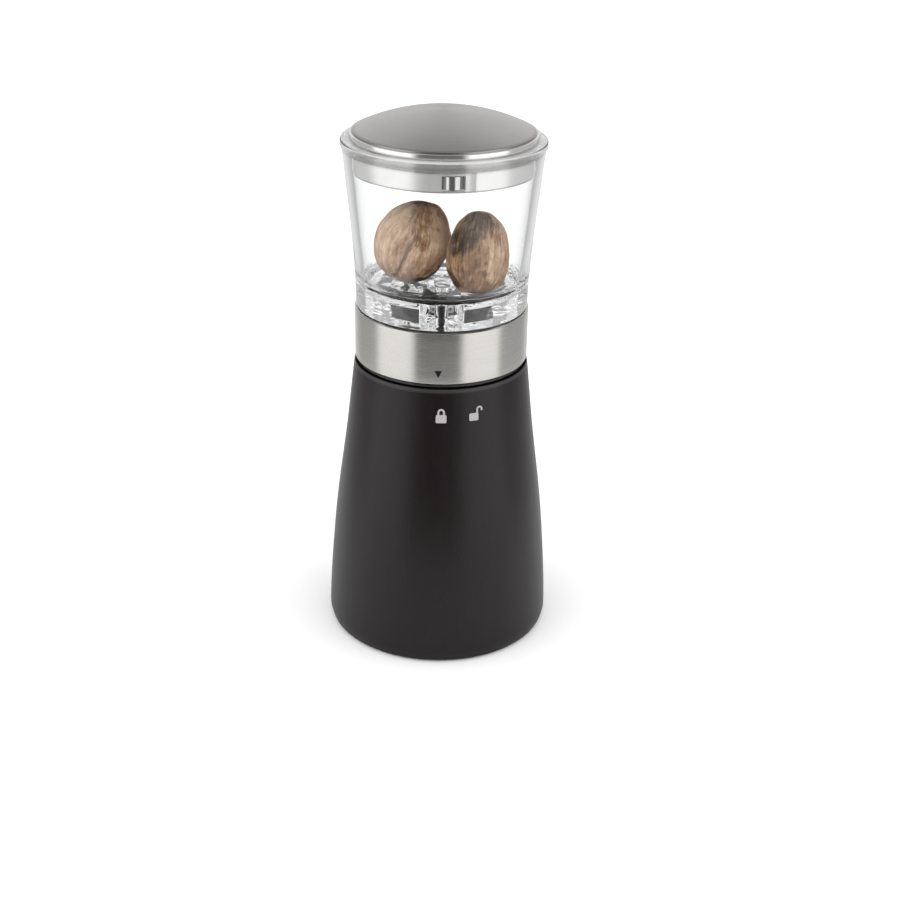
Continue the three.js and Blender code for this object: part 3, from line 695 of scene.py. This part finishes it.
def nutmeg(name, node, centre, half, turn, seed, lines, brown_at, grey_and_painted_shade_at, painted_light_and_shade_at, pits, bumps):
    """An egg with the seed's relief. lines are furrows (depth above 0) and ridges (below 0), each a width, a
    depth and the directions that it passes through. brown_at and the grey list are the directions where the
    skin has another colour, the grey areas low on the seed also standing in for shade, and the shade list
    gives where light and shade are painted into the skin's tone, with a reach each; pits small scars and bumps
    broad swellings or dents in mm: all in the row frame, seen from the seed's centre."""
    bm = bmesh.new()
    bmesh.ops.create_icosphere(bm, subdivisions=7, radius=1.0)
    rot = (
        Matrix.Rotation(math.radians(turn[2]), 3, "Z")
        @ Matrix.Rotation(math.radians(turn[1]), 3, "Y")
        @ Matrix.Rotation(math.radians(turn[0]), 3, "X")
    )
    mesh = bpy.data.meshes.new(name)
    layer = {k: bm.verts.layers.float.new(k) for k in ("tone", "brown", "grey_and_painted_shade", "groove", "pit")}
    off = Vector((seed * 7.3, seed * 3.1, seed * 5.7))
    unit = lambda d: Vector(d).normalized()
    lines = [(width, depth, [unit(d) for d in at]) for width, depth, at in lines]
    brown_at, grey_and_painted_shade_at = [[(unit(d), reach) for d, reach in places] for places in (brown_at, grey_and_painted_shade_at)]
    painted_light_and_shade_at, pits, bumps = [[(unit(d), reach, much) for d, reach, much in places] for places in (painted_light_and_shade_at, pits, bumps)]

    def area(w, places, ragged):
        out = 0.0
        for d, reach in places:
            out = max(out, 1.35 * (1 - smooth01(((w - d).length + ragged - reach * 0.35) / reach)))
        return out

    def to_line(w, at):
        best = 9.0
        for a, b in zip(at, at[1:]):
            ab = b - a
            k = max(0.0, min(1.0, (w - a).dot(ab) / ab.dot(ab)))
            best = min(best, (w - (a + ab * k).normalized()).length)
        return best

    for v in bm.verts:
        u = v.co.normalized()  # the seed's own axes
        k = 1 - 0.07 * u.z
        p = Vector((u.x * k * half[0], u.y * k * half[1], u.z * half[2]))
        w = (rot @ p).normalized()  # the row frame
        lump = noise.noise(w * 1.7 + off) * 0.42 + noise.noise(w * 3.4 - off) * 0.20
        az = math.atan2(u.y, u.x)
        bend = noise.noise(u * 1.8 + off) * 0.7
        c, s = math.cos(az), math.sin(az)
        # soft folds and fine lines that run from end to end
        fold = noise.noise(Vector((c * 4.6 + bend, s * 4.6 - bend, u.z * 0.9)) + off)
        streak = noise.noise(Vector((c * 11 + bend, s * 11 + bend, u.z * 1.6)) - off)
        fibre = noise.noise(Vector((c * 30 + bend * 4, s * 30 + bend * 4, u.z * 2.6)) + off)
        cloud = noise.fractal(w * 3.6 + off * 2, 1.0, 2.0, 4)
        fine = noise.fractal(w * 20 + off, 1.0, 2.0, 3)
        waver = noise.noise(w * 6.0 + off) * 0.035
        cleft = ridge = relief = 0.0
        for width, depth, at in lines:
            near = (to_line(w, at) + waver) / width
            line = math.exp(-near * near)
            relief -= depth * line
            if depth > 0:
                cleft = max(cleft, line * min(1.0, depth * 2.6))
            else:
                ridge = max(ridge, line)
        pit = 0.0
        for d, reach, depth in pits:
            dist = ((w - d).length + waver * 0.8) / reach
            pit = max(pit, math.exp(-dist * dist) * depth)
        swell = sum(h * math.exp(-(((w - d).length / reach) ** 2)) for d, reach, h in bumps)
        # painted light and shade, added to the skin's tone
        painted_light_and_shade = sum(h * math.exp(-(((w - d).length / reach) ** 2)) for d, reach, h in painted_light_and_shade_at)
        scar = math.exp(-(((1 - u.z) / 0.04) ** 2)) + 0.6 * math.exp(-(((1 + u.z) / 0.03) ** 2))
        d = lump + swell + relief + 0.16 * fold + 0.07 * streak + 0.03 * fibre - 0.25 * pit - 0.30 * scar + 0.05 * fine
        tone = 0.50 + 0.26 * streak + 0.18 * fold + 0.34 * fibre + 0.22 * cloud + 0.20 * ridge - 0.10 * scar + painted_light_and_shade
        v[layer["tone"]] = max(0.0, min(1.0, tone))
        v[layer["brown"]] = area(w, brown_at, 0.16 * cloud + 0.10 * fibre)
        # grey areas; the low ones are painted shade
        v[layer["grey_and_painted_shade"]] = area(w, grey_and_painted_shade_at, 0.07 * cloud + 0.06 * fibre)
        v[layer["groove"]] = min(1.0, cleft + 0.3 * scar)
        v[layer["pit"]] = min(1.0, pit)
        v.co = (rot @ (p + p.normalized() * (d - 0.10)) + Vector(centre)) * MM
    for f in bm.faces:
        f.smooth = True
    bm.to_mesh(mesh)
    bm.free()
    obj = bpy.data.objects.new(name, mesh)
    scene.collection.objects.link(obj)
    return place(obj, "hopper", [node], NUTMEG)


# ------------------------------------------------------------------ printed marks
def patch_shell(bm, grid, where):
    """A thin closed shell over a grid of (u, z) points; where(u, z, lift) gives the place in mm."""
    rows = [[[bm.verts.new(Vector(where(u, z, lift)) * MM) for u, z in row] for row in grid] for lift in (0.004, 0.034)]
    low, high = rows
    n, m = len(grid), len(grid[0])
    for i in range(n - 1):
        for j in range(m - 1):
            bm.faces.new((high[i][j], high[i][j + 1], high[i + 1][j + 1], high[i + 1][j]))
            bm.faces.new((low[i][j], low[i + 1][j], low[i + 1][j + 1], low[i][j + 1]))
    rim = (
        [(0, j) for j in range(m)] + [(i, m - 1) for i in range(1, n)] + [(n - 1, j) for j in range(m - 2, -1, -1)] + [(i, 0) for i in range(n - 2, 0, -1)]
    )
    for (a, b), (c, d) in zip(rim, rim[1:] + rim[:1]):
        bm.faces.new((low[a][b], low[c][d], high[c][d], high[a][b]))


def on_wood(u, z, lift):
    r = wood_radius(z) + lift
    a = u / wood_radius(78.3)
    return (r * math.sin(a), -r * math.cos(a), z)


def on_band(u, z, lift):
    r = 25.43 + lift
    a = u / 25.43
    return (r * math.sin(a), -r * math.cos(a), z)


def bar(u0, u1, z0, z1, corner=0.25, n=10, m=8):
    """Grid of a rectangle with rounded corners."""
    grid = []
    for i in range(n + 1):
        z = z0 + (z1 - z0) * i / n
        near = min(z - z0, z1 - z)
        cut = corner - math.sqrt(max(0.0, corner**2 - (corner - near) ** 2)) if near < corner else 0.0
        a, b = u0 + cut, u1 - cut
        grid.append([(a + (b - a) * j / m, z) for j in range(m + 1)])
    return grid


def shackle(u, z, r_in, r_out, leg_a, leg_b, n=18):
    """Grid of a padlock's bow: legs down to the heights leg_a (left) and leg_b (right), and a half ring."""
    def cross(c, s, base):
        return [(u + (r_in + (r_out - r_in) * k / 3) * c, base + (r_in + (r_out - r_in) * k / 3) * s) for k in range(4)]

    rows = [cross(-1, 0, leg_a)]
    rows += [cross(math.cos(math.pi * (1 - i / n)), math.sin(math.pi * (1 - i / n)), z) for i in range(n + 1)]
    rows.append(cross(1, 0, leg_b))
    return rows


def marks():
    bm = bmesh.new()
    patch_shell(bm, bar(-1.22, 1.86, 76.2, 78.62), on_wood)
    patch_shell(bm, shackle(0.32, 79.35, 0.52, 1.08, 78.60, 78.60), on_wood)
    closed = finish_mesh(bm, "padlock_closed", 30)
    place(closed, "base", material=GREY_INK)
    bm = bmesh.new()
    patch_shell(bm, bar(8.50, 11.30, 76.35, 78.62), on_wood)
    patch_shell(bm, shackle(11.66, 79.55, 0.46, 0.98, 78.60, 79.10), on_wood)
    opened = finish_mesh(bm, "padlock_open", 30)
    place(opened, "base", material=GREY_INK)
    bm = bmesh.new()
    n, m = 12, 8
    grid = []
    for i in range(n + 1):
        k = i / n
        half = 1.02 * (1 - k) + 0.03
        grid.append([(-0.68 - half + 2 * half * j / m, 91.72 - 2.12 * k) for j in range(m + 1)])
    patch_shell(bm, grid, on_band)
    arrow = finish_mesh(bm, "arrow_mark", 30)
    place(arrow, "collar", material=BLACK_INK)


# ------------------------------------------------------------------ the other CAD nodes
def dress(node, material, bevel=0.12, sharp_deg=30):
    """A CAD node keeps its shape and gets a finish, smooth turned faces and softened edges."""
    obj = NODES[node]
    obj.data.materials.clear()
    obj.data.materials.append(material)
    limit = math.radians(sharp_deg)
    bm = bmesh.new()
    bm.from_mesh(obj.data)
    for f in bm.faces:
        f.smooth = True
    for e in bm.edges:
        e.smooth = len(e.link_faces) != 2 or e.calc_face_angle(0) < limit
    bm.to_mesh(obj.data)
    bm.free()
    if bevel:
        mod = obj.modifiers.new("edges", "BEVEL")
        mod.width, mod.segments, mod.limit_method, mod.angle_limit = bevel * MM, 2, "ANGLE", math.radians(40)
        mod.use_clamp_overlap = True
        mod.harden_normals = False


# ------------------------------------------------------------------ build
wood_body()
collar_band()
collar_core()
lid_cap()
lid_skirt()
lid_catches()
hopper()
drive_hub()
nutmeg(
    "nutmeg_left_seed", "nutmeg_left", (-8.3, -0.9, 122.2), (11.2, 11.2, 12.0), (0, 14, 0), 1.0,
    lines=[
        (0.055, 0.42, [(0.12, -0.89, 0.44), (-0.02, -0.97, 0.23), (-0.13, -0.99, 0.02), (-0.25, -0.93, -0.26), (-0.32, -0.80, -0.50), (-0.40, -0.60, -0.69)]),
        (0.070, -0.16, [(0.20, -0.95, 0.24), (-0.02, -0.99, -0.06), (-0.15, -0.93, -0.35), (-0.22, -0.80, -0.55)]),
        (0.045, 0.16, [(0.00, -0.30, 0.95), (0.00, -0.58, 0.81), (0.05, -0.86, 0.50)]),
        (0.050, -0.10, [(0.60, -0.66, 0.48), (0.44, -0.90, 0.06), (0.30, -0.88, -0.36)]),
    ],
    brown_at=[((0.39, -0.33, 0.86), 0.42), ((0.50, -0.66, 0.58), 0.44), ((0.70, -0.34, 0.62), 0.30), ((0.27, -0.90, 0.30), 0.22), ((0.45, -0.72, -0.52), 0.22)],
    # grey areas; the ones low on the seed are painted shade
    grey_and_painted_shade_at=[((0.66, -0.35, -0.72), 0.30), ((0.20, -0.46, -0.90), 0.26), ((0.0, 0.0, 1.0), 0.16)],
    # painted light and shade on the skin's tone
    painted_light_and_shade_at=[((-0.62, -0.66, 0.45), 0.60, 0.24), ((-0.24, -0.96, 0.10), 0.26, -0.20), ((0.85, -0.46, 0.26), 0.45, 0.85), ((-0.60, -0.50, -0.65), 0.40, -0.10), ((0.10, -0.96, -0.22), 0.22, -0.10), ((-0.50, -0.40, 0.76), 0.34, 0.26), ((0.17, -0.75, -0.63), 0.34, -0.26)],
    pits=[((0.27, -0.94, 0.22), 0.080, 1.0), ((0.36, -0.90, 0.18), 0.05, 0.7), ((0.58, -0.26, 0.77), 0.06, 0.8), ((0.63, -0.57, 0.52), 0.06, 0.7), ((0.36, -0.69, 0.63), 0.05, 0.6), ((0.15, -0.74, -0.66), 0.05, 0.9), ((-0.42, -0.58, -0.70), 0.06, 0.9)],
    bumps=[((0.62, 0.0, 0.78), 0.45, 1.0), ((0.80, -0.15, -0.62), 0.55, -0.9), ((-0.62, -0.30, -0.72), 0.50, 0.55)],
)  # fmt: skip
nutmeg(
    "nutmeg_right_seed", "nutmeg_right", (9.8, -10.0, 121.9), (8.8, 8.7, 12.2), (-22, 5, 0), 2.0,
    lines=[
        (0.050, 0.24, [(-0.9, -0.1, 0.4), (-0.86, -0.45, 0.05), (-0.75, -0.60, -0.35), (-0.5, -0.7, -0.7)]),
        (0.035, 0.20, [(-0.23, -0.95, -0.10), (-0.20, -0.94, -0.26), (-0.10, -0.90, -0.42)]),
        (0.035, 0.18, [(-0.08, -0.99, 0.06), (-0.04, -0.99, -0.12), (-0.12, -0.97, -0.24)]),
        (0.070, -0.06, [(0.44, -0.86, 0.22), (0.38, -0.92, -0.05), (0.30, -0.85, -0.40)]),
    ],
    brown_at=[((-0.85, -0.52, 0.05), 0.50), ((-0.45, -0.88, -0.20), 0.50), ((0.54, -0.55, 0.64), 0.16), ((-0.10, -0.95, 0.28), 0.44), ((-0.10, -0.85, -0.50), 0.40), ((0.11, -0.65, -0.75), 0.40)],
    # grey areas; the ones low on the seed are painted shade
    grey_and_painted_shade_at=[((-0.30, -0.52, 0.80), 0.54), ((-0.66, -0.48, 0.58), 0.50), ((-0.02, -0.22, 0.98), 0.46), ((-0.66, -0.46, -0.60), 0.26), ((0.0, -0.45, -0.9), 0.22)],
    # painted light and shade on the skin's tone
    painted_light_and_shade_at=[((0.74, -0.62, 0.20), 0.40, 0.08), ((-0.18, -0.95, 0.24), 0.40, -0.14), ((-0.1, -0.92, -0.30), 0.42, -0.16), ((0.46, -0.60, -0.64), 0.50, -0.42), ((-0.47, -0.67, 0.57), 0.28, -0.34), ((-0.17, -0.50, -0.85), 0.34, -0.26)],
    pits=[((0.56, -0.51, 0.66), 0.085, 1.0), ((0.50, -0.60, 0.60), 0.05, 0.7), ((0.11, -0.65, -0.75), 0.055, 1.0), ((-0.10, -0.97, -0.16), 0.05, 0.6)],
    bumps=[((0.50, -0.25, 0.85), 0.40, 0.7), ((-0.30, -0.60, 0.80), 0.5, -0.3)],
)  # fmt: skip
marks()

for n in NODES:
    if NODES[n].hide_render:
        continue
    if n in ("foot_ring", "chamber_liner", "bayonet_socket", "claw_carrier"):
        dress(n, BLACK)
    elif n in ("thrust_washer", "sleeve_cap"):
        dress(n, WHITE)
    elif n == "pressure_spring":
        dress(n, SPRING, 0)
    elif n.startswith("hub_screw"):
        dress(n, DARK_STEEL, 0.08)
    else:
        dress(n, STEEL, 0.08)

# ------------------------------------------------------------------ studio
def stage_piece(name, bm, material):
    mesh = bpy.data.meshes.new(name)
    bm.to_mesh(mesh)
    bm.free()
    mesh.materials.append(material)
    obj = bpy.data.objects.new(name, mesh)
    scene.collection.objects.link(obj)
    return obj


# The floor is white for the eye, also through the clear hopper. What a reflection sees of it ends a hand's
# breadth from the piece, and beyond that is the dim studio.
b = bmesh.new()
bmesh.ops.create_circle(b, cap_ends=True, segments=96, radius=4.0)
t = Tree("floor")
paper = t.node("BsdfPrincipled", {"Base Color": (0.90, 0.90, 0.90, 1), "Roughness": 0.95})
paper.inputs["Specular IOR Level"].default_value = 0.1
clear = t.node("BsdfTransparent")
reflected = t.math("GREATER_THAN", t.node("LightPath").outputs["Glossy Depth"], 0.5)
away = t.span(t.node("VectorMath", {0: t.coord}, operation="LENGTH").outputs["Value"], 0.12, 0.24, smooth=True)
blend = t.node("MixShader", {0: t.math("MULTIPLY", reflected, away), 1: paper.outputs[0], 2: clear.outputs[0]})
t.links.new(blend.outputs[0], t.out.inputs["Surface"])
floor = stage_piece("floor", b, t.mat)
floor.location.z = -0.0002

# the studio: tall soft boxes left and right, dimmer in front, behind and overhead; white where it is
# looked at directly or through the hopper
world = bpy.data.worlds.new("studio")
scene.world = world
world.use_nodes = True
w = Tree.__new__(Tree)
w.nodes, w.links = world.node_tree.nodes, world.node_tree.links
w.nodes.clear()
w.out = w.nodes.new("ShaderNodeOutputWorld")
direction = w.node("SeparateXYZ", {0: w.nodes.new("ShaderNodeTexCoord").outputs["Generated"]}).outputs
around = w.math("ARCTAN2", direction[0], w.math("MULTIPLY", direction[1], -1.0))
around = w.math("ADD", w.math("DIVIDE", around, 2 * math.pi), 0.5)
BACK, REAR_SIDE, BOX, FRONT, TOP = 0.78, 0.46, 1.25, 0.14, 0.36


def at_azimuth(deg, value):
    return (deg / 360 + 0.5, (value, value, value))


ring = w.ramp(around, [
    at_azimuth(-180, BACK), at_azimuth(-155, BACK), at_azimuth(-135, REAR_SIDE), at_azimuth(-96, REAR_SIDE), at_azimuth(-88, BOX),
    at_azimuth(-40, BOX), at_azimuth(-31, FRONT), at_azimuth(23, FRONT), at_azimuth(32, BOX), at_azimuth(79, BOX),
    at_azimuth(87, REAR_SIDE), at_azimuth(135, REAR_SIDE), at_azimuth(155, BACK), at_azimuth(180, BACK),
])  # fmt: skip
high = w.span(direction[2], 0.66, 0.92, smooth=True)
pattern = w.mix(high, ring, (TOP, TOP, TOP))
path = w.node("LightPath").outputs
soft = w.ramp(around, [at_azimuth(-180, 0.55), at_azimuth(-130, 0.8), at_azimuth(-95, 1.7), at_azimuth(-55, 1.7), at_azimuth(-15, 1.15), at_azimuth(15, 1.15), at_azimuth(55, 1.7), at_azimuth(95, 1.7), at_azimuth(130, 0.8), at_azimuth(180, 0.55)])
lit = w.mix(high, soft, (0.60, 0.60, 0.60))
seen = w.mix(w.math("GREATER_THAN", path["Diffuse Depth"], 0.5), (1.0, 1.0, 1.0), lit)
sky = w.mix(w.math("GREATER_THAN", path["Glossy Depth"], 0.5), seen, pattern)
background = w.node("Background", {"Color": sky, "Strength": 1.0})
w.links.new(background.outputs[0], w.out.inputs["Surface"])
world.cycles.sampling_method = "NONE"

# broad light from above, too soft to show as a reflection
lamp = bpy.data.lights.new("sky_light", "SUN")
lamp.energy = 1.5
lamp.angle = math.radians(120)
sky_light = bpy.data.objects.new("sky_light", lamp)
scene.collection.objects.link(sky_light)
sky_light.visible_glossy = False

# light runs a long way inside the clear hopper
scene.cycles.max_bounces = 24
scene.cycles.glossy_bounces = 16
scene.cycles.transmission_bounces = 24

# ------------------------------------------------------------------ camera, as fitted to the photograph
PITCH, YAW, ROLL, FOCAL = 0.4442, 0.0075, 0.0182, 1553.05
fwd = Vector((math.sin(YAW) * math.cos(PITCH), math.cos(YAW) * math.cos(PITCH), -math.sin(PITCH)))
right = Vector((math.cos(YAW), -math.sin(YAW), 0))
up = right.cross(fwd)
r2 = right * math.cos(ROLL) + up * math.sin(ROLL)
u2 = up * math.cos(ROLL) - right * math.sin(ROLL)
cam_data = bpy.data.cameras.new("camera")
cam_data.sensor_width = 36.0
cam_data.lens = FOCAL * 36.0 / 900.0
cam_data.clip_start, cam_data.clip_end = 0.02, 50
camera = bpy.data.objects.new("camera", cam_data)
scene.collection.objects.link(camera)
m = Matrix((r2, u2, -fwd)).transposed().to_4x4()
m.translation = Vector((0, -0.430, 0.25970))
camera.matrix_world = m
scene.camera = camera
scene.view_settings.view_transform = "Standard"
